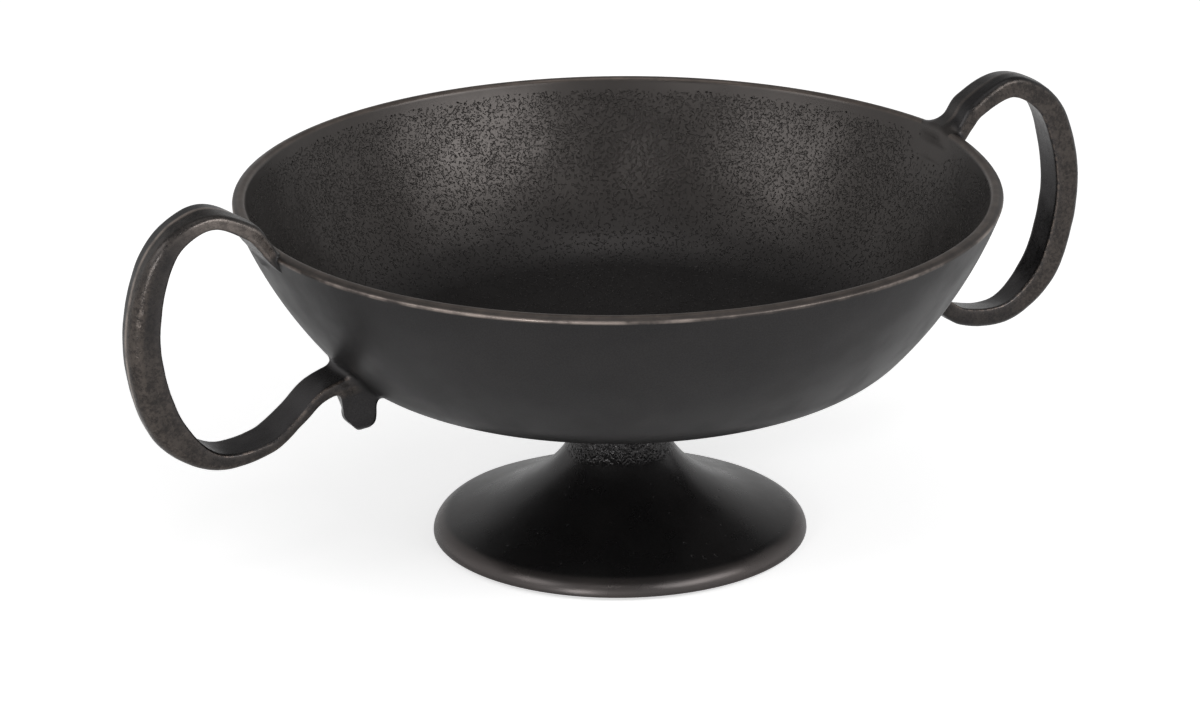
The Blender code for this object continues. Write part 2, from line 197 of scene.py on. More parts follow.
def value_noise(points, cell, seed):
    """Smooth noise from -1 to 1 with lumps about `cell` mm across."""
    lattice = np.random.RandomState(seed).uniform(-1.0, 1.0, (LATTICE,) * 3)
    scaled = points / cell
    base = np.floor(scaled).astype(int)
    part = scaled - base
    part = part * part * (3.0 - 2.0 * part)
    total = np.zeros(points.shape[:-1])
    for corner in itertools.product((0, 1), repeat=3):
        weight = np.prod(np.where(corner, part, 1.0 - part), axis=-1)
        i, j, k = np.moveaxis((base + corner) % LATTICE, -1, 0)
        total += weight * lattice[i, j, k]
    return total


def lumps(points, wave, seed=0):
    height, cell, draw = wave
    return height * value_noise(points, cell, seed + draw)


# The bowl's wall as a field

WALL_R = RIM_RADIUS - WALL_ARC * math.sin(RIM_SLOPE)
WALL_Z = RIM_HEIGHT + WALL_ARC * math.cos(RIM_SLOPE)
SHOULDER_R = WALL_R + (WALL_ARC - SHOULDER_ARC) * math.sin(SHOULDER_SLOPE)
SHOULDER_Z = WALL_Z - (WALL_ARC - SHOULDER_ARC) * math.cos(SHOULDER_SLOPE)
DISH_ARC = SHOULDER_ARC + SHOULDER_R / math.sin(DISH_SLOPE)
DISH_Z = SHOULDER_Z + (DISH_ARC - SHOULDER_ARC) * math.cos(DISH_SLOPE)


def outside_wall(r, z):
    """Distance outside the bowl's outer surface."""
    wall = np.hypot(r - WALL_R, z - WALL_Z) - WALL_ARC
    shoulder = np.hypot(r - SHOULDER_R, z - SHOULDER_Z) - SHOULDER_ARC
    dish = np.hypot(r, z - DISH_Z) - DISH_ARC
    on_wall = np.arctan2(r - WALL_R, WALL_Z - z) >= SHOULDER_SLOPE
    on_shoulder = np.arctan2(r - SHOULDER_R, SHOULDER_Z - z) >= DISH_SLOPE
    return np.where(on_wall, wall, np.where(on_shoulder, shoulder, dish))


def above_lip(r, z):
    """Distance over the lip, which is cut square to the wall and crowned."""
    off_middle = outside_wall(r, z) / (BOWL_WALL / 2.0) + 1.0
    flat = (r - RIM_RADIUS) * math.cos(RIM_SLOPE) + (z - RIM_HEIGHT) * math.sin(RIM_SLOPE)
    return flat + LIP_CROWN * off_middle**2


def bowl_distance(r, z):
    """Signed distance to the bowl's wall, with soft lip edges."""
    out = outside_wall(r, z)
    above = above_lip(r, z)
    outer = smooth_max(out, above, LIP_OUTER_SOFTNESS)
    inner = smooth_max(-out - BOWL_WALL, above, LIP_INNER_SOFTNESS)
    return np.maximum(outer, inner)


def wall_arc(grow, centre_r, centre_z, arc, upper, lower, count):
    slope = np.linspace(upper, lower, count + 1)
    r = centre_r + (arc + grow) * np.sin(slope)
    z = centre_z - (arc + grow) * np.cos(slope)
    return np.stack([r, z], -1)


def wall_profile(grow, below):
    """Points (radius, height) `grow` outside the outer wall, from `below` the lip to the axis."""
    start = RIM_SLOPE - below / (WALL_ARC + grow)
    parts = [
        wall_arc(grow, WALL_R, WALL_Z, WALL_ARC, start, SHOULDER_SLOPE, WALL_ROWS),
        wall_arc(grow, SHOULDER_R, SHOULDER_Z, SHOULDER_ARC,
                 SHOULDER_SLOPE, DISH_SLOPE, SHOULDER_ROWS)[1:],
        wall_arc(grow, 0.0, DISH_Z, DISH_ARC, DISH_SLOPE, 0.0, DISH_ROWS)[1:],
    ]
    return np.concatenate(parts)


def lip_profile(inner_start, outer_end):
    """The lip's soft outline from the inner wall over to the outer wall."""
    inner_edge = (RIM_RADIUS - BOWL_WALL * math.sin(RIM_SLOPE),
                  RIM_HEIGHT + BOWL_WALL * math.cos(RIM_SLOPE))
    corners = [inner_start, inner_edge, (RIM_RADIUS, RIM_HEIGHT), outer_end]
    points = []
    for a, b in zip(corners, corners[1:]):
        a, b = np.array(a), np.array(b)
        count = max(int(np.linalg.norm(b - a) / LIP_SPACING), 2)
        points += [a + (b - a) * i / count for i in range(count)]
    points = np.array(points + [corners[-1]])
    for _ in range(LIP_PASSES):
        points = points - descend(lambda p: bowl_distance(p[:, 0], p[:, 1]), points)[0]
    return points


def descend(field, points, reach=0.02):
    """One Newton step towards the field's surface, and the unit gradient there."""
    here = field(points)
    shifts = reach * np.eye(points.shape[-1])
    slope = np.stack([(field(points + shift) - here) / reach for shift in shifts], -1)
    size = np.maximum(np.linalg.norm(slope, axis=-1, keepdims=True), 1e-6)
    return here[:, None] * slope / size**2, slope / size


# Mesh helpers

def write_mesh(name, points, faces, marks, material, sharp=None):
    """A piece from points in mm, a list of face arrays and named vertex values."""
    mesh = bpy.data.meshes.new(name)
    mesh.from_pydata((points * MM).tolist(), [], [f for group in faces for f in group.tolist()])
    mesh.validate()
    for mark, values in marks.items():
        layer = mesh.attributes.new(mark, "FLOAT", "POINT")
        layer.data.foreach_set("value", np.asarray(values, np.float32))
    mesh.shade_smooth()
    if sharp:
        mesh.set_sharp_from_angle(angle=math.radians(sharp))
    mesh.materials.append(material)
    piece = bpy.data.objects.new(name, mesh)
    bpy.context.scene.collection.objects.link(piece)
    return piece


def lathe(profile, steps, closed):
    """Points and faces of a profile (radius, height) turned about Z.

    The profile runs with its solid on the right.
    """
    turn = np.arange(steps) * math.tau / steps
    points, rings = [], []
    for r, z in profile:
        if r < 1e-6:
            rings.append([len(points)] * steps)
            points.append((0.0, 0.0, z))
        else:
            rings.append(list(range(len(points), len(points) + steps)))
            points.extend(np.stack([r * np.cos(turn), r * np.sin(turn), np.full(steps, z)], -1))
    rings = np.array(rings)
    pairs = list(zip(range(len(rings)), range(1, len(rings))))
    if closed:
        pairs.append((len(rings) - 1, 0))
    quads, fans = [], []
    for a, b in pairs:
        here, there = rings[a], rings[b]
        after, beyond = np.roll(here, -1), np.roll(there, -1)
        if here[0] == here[1]:
            fans.append(np.stack([here, beyond, there], -1))
        elif there[0] == there[1]:
            fans.append(np.stack([here, after, there], -1))
        else:
            quads.append(np.stack([here, after, beyond, there], -1))
    return np.array([tuple(p) for p in points]), [np.concatenate(g) for g in (quads, fans) if g]


def surface_net(field, low, step):
    """Vertices and quads of the surface where a sampled field is zero."""
    cells = tuple(n - 1 for n in field.shape)
    total = np.zeros(cells + (3,), np.float32)
    count = np.zeros(cells, np.float32)
    crossings = []
    for axis in range(3):
        first = np.take(field, range(cells[axis]), axis)
        last = np.take(field, range(1, cells[axis] + 1), axis)
        cross = (first < 0) != (last < 0)
        part = np.where(cross, first / np.where(cross, first - last, 1.0), 0.0)
        crossings.append((cross, first < 0))
        others = [a for a in range(3) if a != axis]
        for shift in itertools.product((0, 1), repeat=2):
            window = [slice(0, n) for n in cells]
            for a, s in zip(others, shift):
                window[a] = slice(s, s + cells[a])
            hit = cross[tuple(window)]
            count += hit
            total[..., axis] += np.where(hit, part[tuple(window)], 0.0)
            for a, s in zip(others, shift):
                total[..., a] += hit * s
    used = np.argwhere(count > 0)
    index = np.full(cells, -1)
    index[tuple(used.T)] = np.arange(len(used))
    share = total[tuple(used.T)] / count[tuple(used.T)][:, None]
    quads = [net_quads(axis, *crossings[axis], index, cells) for axis in range(3)]
    return low + step * (used + share), quads


def net_quads(axis, cross, first_inside, index, cells):
    """Faces across the grid edges along one axis."""
    b, c = (axis + 1) % 3, (axis + 2) % 3
    at = np.argwhere(cross)
    at = at[(at[:, b] > 0) & (at[:, c] > 0) & (at[:, b] < cells[b]) & (at[:, c] < cells[c])]
    step_b, step_c = np.eye(3, dtype=int)[b], np.eye(3, dtype=int)[c]
    shifts = (step_b + step_c, step_c, 0 * step_b, step_b)
    quad = np.stack([index[tuple((at - shift).T)] for shift in shifts], -1)
    flip = ~first_inside[tuple(at.T)]
    quad[flip] = quad[flip][:, ::-1]
    return quad


# The handle as a field

class Sweep:
    """Rounded sections square to a smooth path in the XZ plane.

    Their inner and outer faces may lean across Y.
    """

    def __init__(self, stations, corners, ridge=0.0, spacing=0.8):
        curve = smooth_curve(np.array(stations, float))
        along = lengths_along(curve)
        even = np.arange(0.0, along[-1], spacing)
        self.samples = np.stack([np.interp(even, along, column) for column in curve.T], -1)
        heading = np.gradient(self.samples[:, :2], axis=0)
        self.heading = heading / np.linalg.norm(heading, axis=1, keepdims=True)
        self.corners = corners
        self.ridge = ridge
        self.spacing = spacing

    def local(self, x, z):
        """Height over the path, half thickness, half width, both leans, overshoot and place along it."""
        shape = np.broadcast(x, z).shape
        at = np.stack([np.broadcast_to(x, shape).ravel(), np.broadcast_to(z, shape).ravel()], -1)
        path = self.samples[:, :2]
        near = np.concatenate([
            np.argmin(((part[:, None, :] - path[None]) ** 2).sum(-1), 1)
            for part in np.array_split(at, max(1, len(at) // 8000))])
        gap = at - path[near]
        heading = self.heading[near]
        ahead = (gap * heading).sum(-1)
        height = gap[:, 1] * heading[:, 0] - gap[:, 0] * heading[:, 1]
        place = np.clip(near + ahead / self.spacing, 0, len(path) - 1)
        rows = np.arange(len(path))
        thick, wide, lean_in, lean_out = (
            np.interp(place, rows, column) for column in self.samples[:, 2:].T)
        over = np.where(near == 0, -ahead, np.where(near == len(path) - 1, ahead, -1.0))
        values = (height, thick / 2.0, wide / 2.0, lean_in, lean_out, over, place * self.spacing)
        return [v.reshape(shape) for v in values]

    def section(self, x, y, z):
        """Place across, half width, place through, half thickness, overshoot and place along the path."""
        height, thick, wide, lean_in, lean_out, over, place = self.local(x, z)
        span = np.where(y > RIDGE_PLACE, wide - RIDGE_PLACE, wide + RIDGE_PLACE)
        crest = np.maximum(1.0 - np.abs(y - RIDGE_PLACE) / span, 0.0)
        top = thick + lean_out * y + self.ridge * crest
        bottom = lean_in * y - thick
        return y, wide, height - (top + bottom) / 2.0, (top - bottom) / 2.0, over, place

    def distance(self, x, y, z):
        across, wide, through, half, over, _ = self.section(x, y, z)
        near, far, inner = self.corners
        corner = np.where(through > 0, np.where(across > 0, near, far), inner)
        corner = np.minimum(corner, 0.85 * half)
        across = np.abs(across) - wide + corner
        through = np.abs(through) - half + corner
        flat = np.minimum(np.maximum(across, through), 0.0)
        section = flat + np.hypot(np.maximum(across, 0.0), np.maximum(through, 0.0)) - corner
        return smooth_max(section, over, END_SOFTNESS)


def lengths_along(path):
    steps = np.linalg.norm(np.diff(path[:, :2], axis=0), axis=1)
    return np.concatenate([[0.0], np.cumsum(steps)])


def smooth_curve(stations, steps=24):
    """Points on a smooth curve through the stations, spaced by chord length."""
    knots = lengths_along(stations)
    last = len(stations) - 1
    slopes = []
    for i in range(last + 1):
        low, high = max(i - 1, 0), min(i + 1, last)
        slopes.append((stations[high] - stations[low]) / (knots[high] - knots[low]))
    points = []
    for i in range(last):
        span = knots[i + 1] - knots[i]
        for t in np.arange(steps) / steps:
            points.append(
                stations[i] * (2 * t**3 - 3 * t**2 + 1) + slopes[i] * span * (t**3 - 2 * t**2 + t)
                + stations[i + 1] * (3 * t**2 - 2 * t**3) + slopes[i + 1] * span * (t**3 - t**2))
    return np.array(points + [stations[last]])


SEAT_HEIGHT = RIM_HEIGHT - SEAT_DROP
SEAT_RADIUS = WALL_R + math.sqrt(WALL_ARC**2 - (WALL_Z - SEAT_HEIGHT) ** 2)


def placed(stations, out, up):
    return [(out + x, up + z, *rest) for x, z, *rest in stations]


STRAP_PATH = (placed(STRAP_RIM_STATIONS, RIM_RADIUS, RIM_HEIGHT)
              + placed(STRAP_SEAT_STATIONS, SEAT_RADIUS, SEAT_HEIGHT))
LUG = Sweep(placed(LUG_STATIONS, SEAT_RADIUS, SEAT_HEIGHT), LUG_CORNERS)


def lug_distance(x, y, z):
    """The lug, which stops halfway through the wall."""
    past_middle = -outside_wall(np.hypot(x, y), z) - BOWL_WALL / 2
    return np.maximum(LUG.distance(x, y, z), past_middle)


def rim_rise(x, y, z):
    """How far the cast rim stands above its turned shape."""
    turn = np.arctan2(y, x) / RISE_ANGLE
    return RISE / (1.0 + turn**2) * smoothstep(*RISE_HEIGHTS, z)


def root_wall(x, y, z, rise):
    """The wall that the handle meets: with its lip at the upper root, a full solid at the lower one."""
    r = np.hypot(x, y)
    return np.where(z > ROOT_SPLIT, bowl_distance(r, z - rise), outside_wall(r, z))


def root_blend(x, y, z, rise, blends):
    """Fillet size where the handle runs into the bowl, by the side of the strap and inside the bowl."""
    at_plus, at_minus, inside, middle = blends
    upper = at_minus + (at_plus - at_minus) * smoothstep(middle - BLEND_RUN, middle + BLEND_RUN, y)
    z = z - rise
    depth = smoothstep(*BLEND_INSIDE, outside_wall(np.hypot(x, y), z))
    depth = depth * smoothstep(*BLEND_UNDER_LIP, RIM_HEIGHT - z)
    upper = upper + (inside - upper) * depth
    return SEAT_BLEND + (upper - SEAT_BLEND) * smoothstep(*BLEND_HEIGHTS, z)


def handle_field(x, y, z, strap, blends, raised):
    """Strap, lug and fillets, cut off just inside the wall and just beyond the fillets."""
    body = smooth_min(strap.distance(x, y, z), lug_distance(x, y, z), LUG_BLEND)
    rise = rim_rise(x, y, z) if raised else 0.0
    wall = root_wall(x, y, z, rise)
    size = root_blend(x, y, z, rise, blends)
    joined = smooth_min(body, wall, size) + SINK
    return np.maximum(np.maximum(joined, -(wall + ROOT_DEPTH)), body - size - ROOT_MARGIN)


def handle_mesh(strap, blends, raised):
    """Points, faces, normals and marks of a handle on the +X side."""
    low = np.array(NET_LOW)
    axes = [np.arange(a, b, NET_STEP) for a, b in zip(NET_LOW, NET_HIGH)]
    x, y, z = (axes[0][:, None, None], axes[1][None, :, None], axes[2][None, None, :])
    points, quads = surface_net(handle_field(x, y, z, strap, blends, raised), low, NET_STEP)

    def field(p):
        return handle_field(p[:, 0], p[:, 1], p[:, 2], strap, blends, raised)

    for _ in range(NET_PASSES):
        step, normal = descend(field, points)
        points = points - np.clip(step, -NET_PULL, NET_PULL)
    return points, quads, normal, handle_marks(points, strap, raised)


def rubbed_share(x, z, raised):
    """How far the strap's sides are rubbed: less at the top of the left handle and near the lug."""
    share = 0.85 if raised else 0.3 + 0.5 * smoothstep(124.0, 104.0, z)
    near_lug = smoothstep(36.0, 24.0, x - RIM_RADIUS) * smoothstep(112.0, 100.0, z)
    return share * (1.0 - 0.5 * near_lug)


def handle_marks(points, strap, raised):
    """Vertex values for the finish.

    The half that is more rubbed looks towards -Y once the left handle is in place.
    """
    x, y, z = points.T
    across, wide, through, half, _, place = strap.section(x, y, z)
    side, face = np.abs(across) / wide, through / half
    only_left, less_right, half_right = (0.0, 0.25, 0.5) if raised else (1.0, 1.0, 1.0)
    root = smoothstep(4.0, 0.6, root_wall(x, y, z, rim_rise(x, y, z) if raised else 0.0))
    on_strap = smoothstep(3.0, 0.5, strap.distance(x, y, z)) * (1.0 - root)
    near_half = smoothstep(RIDGE_PLACE - 0.4, RIDGE_PLACE + 0.8, y) * smoothstep(0.05, 0.45, face)
    near_half = near_half * (0.5 + 0.5 * smoothstep(150.0, 130.0, z))
    on_side = smoothstep(0.0, 0.3, side - np.abs(face)) * rubbed_share(x, z, raised)
    inner_edge = np.hypot(wide - np.abs(across), half + through)
    # Painted highlight: the near side face of the left handle's upper arc is marked to be coloured
    # lighter, where it reflects light
    side_glint = smoothstep(0.82, 0.97, across / wide) * smoothstep(-0.95, -0.6, face)
    side_glint = side_glint * smoothstep(0.8, 0.4, face) * smoothstep(60.0, 36.0, place)
    ridge = smoothstep(1.4, 0.3, np.abs(y - RIDGE_PLACE)) * smoothstep(0.4, 0.8, face)
    dents = smoothstep(9.0, 3.0, np.abs(z - DENTS_HEIGHT)) * smoothstep(2.0, 5.0, y)
    dents = dents * smoothstep(0.0, 0.5, face)
    return {
        "edge_in": smoothstep(1.0, 0.55, inner_edge) * on_strap,
        "wear": np.maximum(near_half * half_right, on_side) * on_strap,
        "inner": smoothstep(-0.3, -0.7, face) * on_strap,
        "side_glint": side_glint * on_strap * only_left,
        "ridge": ridge * on_strap * less_right,
        "dents": dents * on_strap * only_left,
        "root": root,
        "warm": smoothstep(-1.0, -3.5, outside_wall(np.hypot(x, y), z)) * root,
    }


# Materials

class Shader:
    """One procedural material, built up from sockets in object coordinates."""

    def __init__(self, name):
        self.material = bpy.data.materials.new(name)
        self.material.use_nodes = True
        self.tree = self.material.node_tree
        self.bsdf = self.tree.nodes["Principled BSDF"]
        self.place = self.tree.nodes.new("ShaderNodeTexCoord").outputs["Object"]

    def put(self, socket, value):
        if isinstance(value, bpy.types.NodeSocket):
            self.tree.links.new(value, socket)
        elif isinstance(value, tuple) and len(value) == 3 and socket.type == "RGBA":
            socket.default_value = (*value, 1.0)
        else:
            socket.default_value = value

    def mark(self, name):
        node = self.tree.nodes.new("ShaderNodeAttribute")
        node.attribute_name = name
        return node.outputs["Fac"]

    def noise(self, size, detail=3.0, roughness=0.55, distortion=0.0):
        """Noise with features about `size` mm across."""
        node = self.tree.nodes.new("ShaderNodeTexNoise")
        self.put(node.inputs["Vector"], self.place)
        node.inputs["Scale"].default_value = 1000.0 / size
        node.inputs["Detail"].default_value = detail
        node.inputs["Roughness"].default_value = roughness
        node.inputs["Distortion"].default_value = distortion
        return node.outputs["Fac"]

    def sum(self, a, b, how="ADD"):
        node = self.tree.nodes.new("ShaderNodeMath")
        node.operation = how
        self.put(node.inputs[0], a)
        self.put(node.inputs[1], b)
        return node.outputs[0]

    def times(self, a, b):
        return self.sum(a, b, "MULTIPLY")

    def range(self, value, low, high, to_low=0.0, to_high=1.0):
        node = self.tree.nodes.new("ShaderNodeMapRange")
        node.interpolation_type = "SMOOTHSTEP"
        self.put(node.inputs["Value"], value)
        limits = {"From Min": low, "From Max": high, "To Min": to_low, "To Max": to_high}
        for name, number in limits.items():
            node.inputs[name].default_value = number
        return node.outputs["Result"]

    def mix(self, factor, a, b, how="MIX"):
        node = self.tree.nodes.new("ShaderNodeMix")
        node.data_type = "RGBA"
        node.blend_type = how
        self.put(node.inputs[0], factor)
        self.put(node.inputs[6], a)
        self.put(node.inputs[7], b)
        return node.outputs[2]

    def bump(self, height, depth, normal=None):
        """A bump that is `depth` mm high where the height goes from 0 to 1."""
        node = self.tree.nodes.new("ShaderNodeBump")
        node.inputs["Distance"].default_value = depth * MM
        self.put(node.inputs["Height"], height)
        if normal:
            self.put(node.inputs["Normal"], normal)
        return node.outputs["Normal"]

    def finish(self, colour, roughness, metallic, normal):
        values = {"Base Color": colour, "Roughness": roughness, "Metallic": metallic, "Normal": normal}
        for name, value in values.items():
            self.put(self.bsdf.inputs[name], value)
        return self.material


PATINA_DARK = (0.031, 0.0298, 0.0304)
PATINA_BROWN = (0.035, 0.0333, 0.0338)
PATINA_WARM = (0.054, 0.0488, 0.0462)
PATINA_GREY = (0.053, 0.05, 0.0508)
PATINA_PIT = (0.012, 0.011, 0.011)
WORN_BROWN = (0.17, 0.14, 0.122)
# Lighter line on the lip's outer corner: partly a rubbed edge, partly a painted highlight
RUBBED_EDGE_AND_HIGHLIGHT = (0.30, 0.255, 0.23)
STRAP_BROWN = ((0.040, 0.035, 0.0325), (0.092, 0.078, 0.069))
STRAP_RIDGE = (0.3, 0.25, 0.22)
# Painted highlight for the near side face of the left handle's upper arc
STRAP_SIDE_GLINT = (0.18, 0.156, 0.142)
FOOT_PATINA = ((0.048, 0.0462, 0.0468), (0.055, 0.052, 0.052))
# Lighter band on the foot's rounded edge: partly rubbed edge, partly a painted reflection of the bright
# floor
FOOT_NOSE_RUB_AND_REFLECTION = (0.082, 0.071, 0.068)
ZINC = ((0.42, 0.42, 0.4), (0.62, 0.61, 0.57))
SPRING_STEEL = ((0.13, 0.13, 0.135), (0.24, 0.235, 0.23))
FELT = ((0.012, 0.012, 0.013), (0.05, 0.048, 0.047))
GRAIN_DEPTH = 0.012
CAST_PIT_DEPTH = -0.36
STRAP_DIMPLE_DEPTH = 0.065
NECK_SQUIGGLE_DEPTH = 0.55
FOOT_PORE_DEPTH = -0.12
FOOT_GRAIN_DEPTH = 0.01


def patina(shader, dark=PATINA_DARK, brown=PATINA_BROWN):
    """Blackened bronze shared by all cast pieces: colour and fine grain."""
    cloud = shader.range(shader.noise(38.0, 3.0), 0.38, 0.66)
    colour = shader.mix(cloud, dark, brown)
    grain = shader.noise(0.55, 2.0, 0.6)
    shade = shader.range(grain, 0.25, 0.75, 0.84, 1.14)
    tint = shader.tree.nodes.new("ShaderNodeCombineColor")
    for channel in tint.inputs:
        shader.put(channel, shade)
    return shader.mix(1.0, colour, tint.outputs[0], "MULTIPLY"), grain


def cast_rough(shader, inside):
    """Roughness of the cast wall, which is smoother inside the bowl."""
    cloud = shader.range(shader.noise(22.0, 3.0), 0.3, 0.7, 0.36, 0.46)
    return shader.sum(cloud, shader.times(inside, -0.11))


def bowl_material():
    shader = Shader("bowl_blackened_bronze")
    colour, grain = patina(shader)
    lip, edge, inside = shader.mark("lip"), shader.mark("edge"), shader.mark("pits")
    # Inside the bowl the tone is lighter and warmer; its fade towards the bottom of the bowl is painted
    # shade
    colour = shader.mix(shader.mark("inside"), colour, PATINA_WARM)
    strokes = shader.noise(1.2, 1.5, 0.5, 0.4)
    patches = shader.range(shader.noise(15.0, 2.0), 0.32, 0.62, 0.4, 1.0)
    depth = shader.times(inside, patches)
    level = shader.sum(strokes, shader.times(depth, -0.12))
    pit = shader.times(shader.range(level, 0.415, 0.31), shader.range(inside, 0.02, 0.12))
    colour = shader.mix(shader.times(pit, 0.14), colour, PATINA_PIT)
    scuff = shader.range(shader.noise(9.0, 4.0, 0.7), 0.35, 0.7, 0.55, 1.0)
    colour = shader.mix(shader.times(lip, shader.times(scuff, 0.8)), colour, WORN_BROWN)
    # The lip's outer corner is made lighter: partly a rubbed edge, partly a painted highlight of the
    # reflected floor
    rub_and_glint = shader.range(shader.noise(26.0, 4.0, 0.65), 0.4, 0.62, 0.1, 1.0)
    colour = shader.mix(shader.times(edge, shader.times(rub_and_glint, 0.85)), colour, RUBBED_EDGE_AND_HIGHLIGHT)
    rough = cast_rough(shader, shader.mark("inside"))
    normal = shader.bump(pit, CAST_PIT_DEPTH)
    normal = shader.bump(grain, GRAIN_DEPTH, normal)
    metallic = shader.range(edge, 0.1, 0.8, 0.85, 1.0)
    return shader.finish(colour, rough, metallic, normal)


def handle_material():
    shader = Shader("handle_rubbed_bronze")
    colour, grain = patina(shader)
    wear, ridge = shader.mark("wear"), shader.mark("ridge")
    colour = shader.mix(shader.mark("warm"), colour, PATINA_WARM)
    colour = shader.mix(shader.mark("inner"), colour, PATINA_GREY)
    blotch = shader.noise(6.5, 3.0, 0.6)
    fine = shader.noise(1.5, 4.0, 0.7, 0.3)
    mottle = shader.range(shader.sum(shader.times(blotch, 0.4), shader.times(fine, 0.6)), 0.4, 0.6)
    brown = shader.mix(mottle, *STRAP_BROWN)
    colour = shader.mix(shader.times(wear, 0.9), colour, brown)
    streak = shader.times(ridge, shader.range(shader.noise(9.0, 4.0, 0.65), 0.38, 0.6, 0.45, 1.0))
    colour = shader.mix(shader.times(streak, 0.95), colour, STRAP_RIDGE)
    # Painted highlight with sparkle on the near side face of the left handle's upper arc
    glint_sparkle = shader.range(shader.noise(2.4, 4.0, 0.7), 0.36, 0.6, 0.45, 1.0)
    colour = shader.mix(shader.times(shader.mark("side_glint"), glint_sparkle), colour, STRAP_SIDE_GLINT)
    nick = shader.range(shader.noise(3.2, 4.0, 0.75), 0.42, 0.58)
    line = shader.times(shader.mark("edge_in"), nick)
    colour = shader.mix(shader.times(line, 0.8), colour, WORN_BROWN)
    root = shader.mark("root")
    away = shader.range(root, 0.0, 1.0, 1.0, 0.0)
    rough = shader.sum(shader.times(shader.range(fine, 0.3, 0.7, 0.23, 0.37), away),
                       shader.times(cast_rough(shader, shader.mark("warm")), root))
    dimples = shader.range(shader.noise(1.7, 3.0, 0.6, 0.3), 0.28, 0.72)
    normal = shader.bump(shader.times(dimples, shader.range(wear, 0.0, 1.0)), STRAP_DIMPLE_DEPTH)
    normal = shader.bump(grain, GRAIN_DEPTH, normal)
    return shader.finish(colour, rough, shader.range(line, 0.1, 0.9, 0.85, 1.0), normal)


def foot_material():
    shader = Shader("foot_blackened_bronze")
    colour, grain = patina(shader, *FOOT_PATINA)
    nose, neck = shader.mark("nose"), shader.mark("neck")
    # The lighter band on the rounded foot edge: partly the edge's own rubbing, partly a painted
    # reflection of the bright floor in front
    wear = shader.range(shader.noise(30.0, 2.0, 0.5), 0.3, 0.65, 0.6, 1.0)
    colour = shader.mix(shader.times(nose, shader.times(wear, 0.9)), colour, FOOT_NOSE_RUB_AND_REFLECTION)
    off_nose = shader.range(nose, 0.0, 0.5, 1.0, 0.0)
    pores = shader.times(shader.range(shader.noise(2.4, 2.0, 0.5), 0.3, 0.24), off_nose)
    colour = shader.mix(shader.times(pores, 0.6), colour, PATINA_PIT)
    squiggle = shader.noise(2.2, 2.0, 0.5, 1.2)
    rough = shader.range(shader.noise(18.0, 3.0), 0.3, 0.7, 0.25, 0.33)
    normal = shader.bump(shader.times(shader.range(squiggle, 0.34, 0.62), neck), NECK_SQUIGGLE_DEPTH)
    normal = shader.bump(pores, FOOT_PORE_DEPTH, normal)
    normal = shader.bump(grain, FOOT_GRAIN_DEPTH, normal)
    return shader.finish(colour, rough, shader.range(nose, 0.0, 1.0, 0.88, 0.75), normal)


def zinc_material():
    shader = Shader("zinc_plated_steel")
    spangle = shader.noise(2.2, 3.0, 0.6)
    colour = shader.mix(shader.range(spangle, 0.3, 0.7), *ZINC)
    rough = shader.range(spangle, 0.3, 0.7, 0.3, 0.48)
    return shader.finish(colour, rough, 1.0, shader.bump(shader.noise(0.4), 0.02))


def spring_material():
    shader = Shader("oiled_spring_steel")
    cloud = shader.noise(1.8, 3.0, 0.6)
    colour = shader.mix(shader.range(cloud, 0.3, 0.7), *SPRING_STEEL)
    rough = shader.range(cloud, 0.3, 0.7, 0.32, 0.5)
    return shader.finish(colour, rough, 1.0, shader.bump(shader.noise(0.3), 0.02))


def felt_material():
    shader = Shader("black_felt")
    fibre = shader.noise(0.35, 5.0, 0.75, 1.5)
    colour = shader.mix(shader.range(fibre, 0.3, 0.7), *FELT)
    shader.bsdf.inputs["Sheen Weight"].default_value = 0.4
    return shader.finish(colour, shader.range(fibre, 0.3, 0.7, 0.85, 1.0), 0.0, shader.bump(fibre, 0.12))


# Pieces

def make_bowl():
    inner = wall_profile(-BOWL_WALL, INNER_START)[::-1]
    outer = wall_profile(0.0, OUTER_START)
    lip = lip_profile(tuple(inner[-1]), tuple(outer[0]))
    underside = outer[-1][1]
    boss_end = underside - BOSS_LENGTH
    stem = np.array([
        (BOSS_RADIUS, DISH_Z - math.sqrt(DISH_ARC**2 - BOSS_RADIUS**2)),
        (BOSS_RADIUS, boss_end + BOSS_CHAMFER),
        (BOSS_RADIUS - BOSS_CHAMFER, boss_end),
        (BORE_RADIUS, boss_end),
        (BORE_RADIUS, boss_end + BORE_DEPTH),
        (0.0, boss_end + BORE_DEPTH)])
    outer = outer[outer[:, 0] > BOSS_RADIUS + BOSS_MARGIN]
    profile = np.concatenate([inner, lip[1:-1], outer, stem])
    points, faces = lathe(profile[::-1], BOWL_STEPS, closed=False)
    marks = bowl_marks(points)
    points = points + cast_waves(points)
    points[:, 2] += rim_rise(*points.T)
    piece = write_mesh("cast_bowl", points, faces, marks, bowl_material(), sharp=SHARP_ANGLE)
    finish_piece(piece, "bowl", "bowl")


def near_roots(points, wide, deep):
    """1 at the lip next to a handle root, 0 beyond an ellipse of that size."""
    across = np.abs(points[:, 1]) / wide
    down = (RIM_HEIGHT - points[:, 2]) / deep
    return smoothstep(1.0, 0.45, np.hypot(across, down)) * (np.abs(points[:, 0]) > RIM_RADIUS / 2)


def cast_waves(points):
    """Slight unevenness of the cast inner wall, away from the lip and the handle roots."""
    r = np.hypot(points[:, 0], points[:, 1])
    inner = smoothstep(0.8, 2.4, -outside_wall(r, points[:, 2]))
    inner = inner * smoothstep(RIM_HEIGHT - 4.0, RIM_HEIGHT - 14.0, points[:, 2])
    inner = inner * (1.0 - near_roots(points, *WAVE_FREE)) * (points[:, 2] > WAVES_ABOVE)
    wave = lumps(points, BOWL_WAVES[0]) + lumps(points, BOWL_WAVES[1])
    inward = points * np.array([-1.0, -1.0, 0.0]) / np.maximum(r, 1.0)[:, None]
    return inward * (wave * inner)[:, None]


